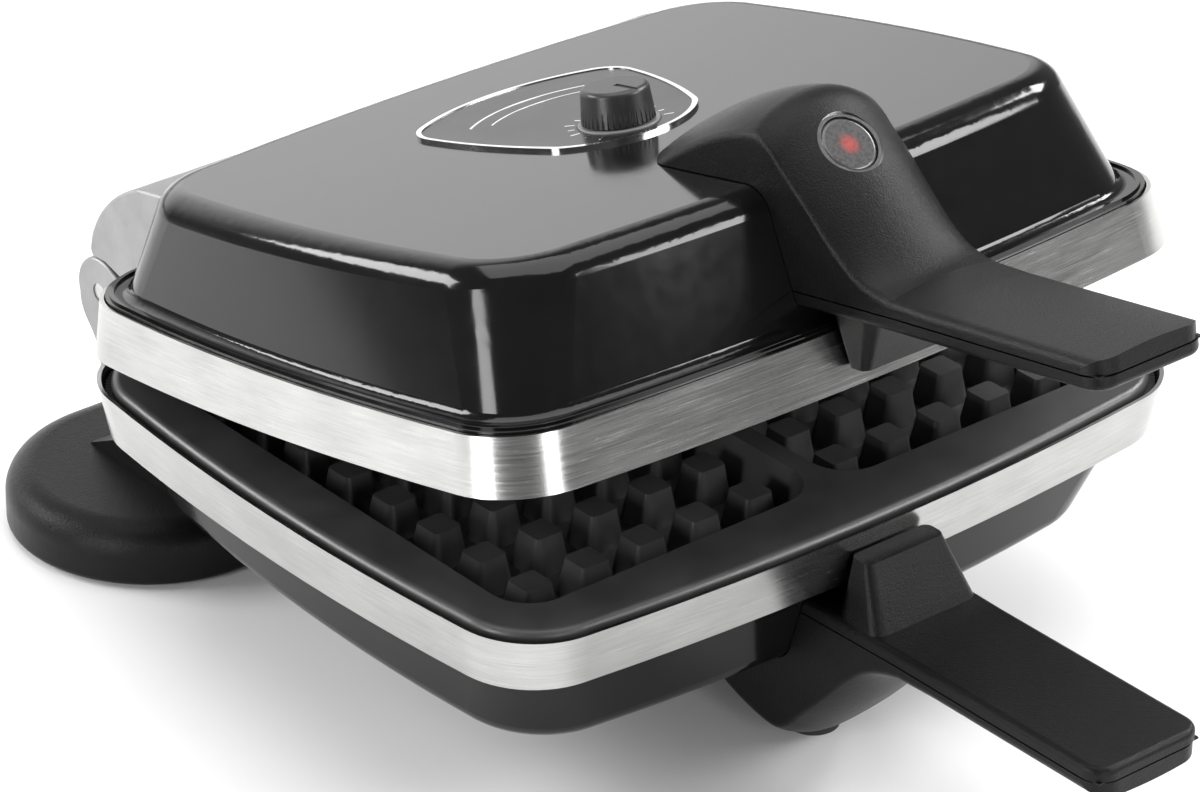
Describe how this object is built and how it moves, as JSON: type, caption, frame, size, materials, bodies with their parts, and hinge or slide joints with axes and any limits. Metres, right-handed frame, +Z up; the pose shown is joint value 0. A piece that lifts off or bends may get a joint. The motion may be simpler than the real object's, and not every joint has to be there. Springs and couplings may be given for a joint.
{
  "type": "waffle maker",
  "caption": "Hinged electric waffle maker with rectangular cavities, steel bands, black enamel shells, projecting handles, heat knob, pilot lamp and a round-ended rear foot.",
  "frame": {"origin": "centre of the outer box, on the surface that the feet stand on", "axes": "+X to the right along the front, +Y from the handles to the hinges, +Z up"},
  "size_m": [0.2656, 0.3916, 0.1972],
  "materials": {
    "enamel": "gloss black enamel",
    "band_steel": "brushed along the band",
    "nonstick": "satin non-stick coating on cast aluminium",
    "seal": "woven glass fibre, matte",
    "element_sheath": "drawn, satin",
    "shield_sheet": "mill finish",
    "fastener_steel": "zinc plated, satin",
    "phenolic": "moulded phenolic, fine texture",
    "hinge_casting": "fine blasted casting",
    "pad_rubber": "matte",
    "trim_chrome": "polished",
    "lamp_lens": "frosted",
    "lamp_glass": "clear, lit",
    "badge_black": "satin",
    "dial_ring_grey": "satin",
    "knob_grey": "satin",
    "pointer_light": "satin",
    "ceramic_white": "unglazed"
  },
  "bodies": {
    "base": {"lower_band": "band_steel", "lower_gasket": "seal", "lower_shell": "enamel", "lower_plate": "nonstick", "lower_heating_element": "element_sheath", "lower_heat_shield": "shield_sheet", "lower_shield_screws": "fastener_steel", "lower_posts": "fastener_steel", "lower_shell_screws": "fastener_steel", "lower_handle_cover": "phenolic", "lower_handle_base": "phenolic", "lower_handle_screws": "fastener_steel", "cord_gland": "phenolic", "terminal_block": "ceramic_white", "lower_hinge_bolts": "fastener_steel", "hinge_lower_left": "hinge_casting", "hinge_lower_right": "hinge_casting", "hinge_pins": "fastener_steel", "rear_foot": "phenolic", "foot_pedestal": "phenolic", "rear_foot_pads": "pad_rubber", "front_foot_pad": "pad_rubber"},
    "lid": {"upper_band": "band_steel", "upper_gasket": "seal", "upper_shell": "enamel", "upper_plate": "nonstick", "upper_heating_element": "element_sheath", "upper_heat_shield": "shield_sheet", "upper_shield_screws": "fastener_steel", "upper_posts": "fastener_steel", "upper_handle_cover": "phenolic", "upper_handle_base": "phenolic", "upper_handle_screws": "fastener_steel", "upper_hinge_bolts": "fastener_steel", "hinge_upper_left": "hinge_casting", "hinge_upper_right": "hinge_casting", "pilot_bezel": "trim_chrome", "pilot_lens": "lamp_lens", "pilot_lamp": "lamp_glass", "lamp_holder": "phenolic", "nameplate": "badge_black", "nameplate_trim": "trim_chrome", "dial_ring": "dial_ring_grey", "thermostat": "phenolic", "thermostat_bracket": "shield_sheet", "thermostat_screws": "fastener_steel", "thermal_fuse": "fastener_steel"},
    "knob": {"knob": "knob_grey", "knob_pointer": "pointer_light", "thermostat_shaft": "fastener_steel"}
  },
  "joints": [
    {"name": "lid_hinge", "type": "hinge", "parent": "base", "child": "lid", "pos_m": [0, 0.1463, 0.0855], "axis": [-1, 0, 0], "range_deg": [-10.34, 79.5]},
    {"name": "thermostat_knob", "type": "hinge", "parent": "lid", "child": "knob", "pos_m": [0, 0.02661, 0.15658], "axis": [0, 0.2255, 0.9742], "range_deg": [-135, 135]}
  ]
}
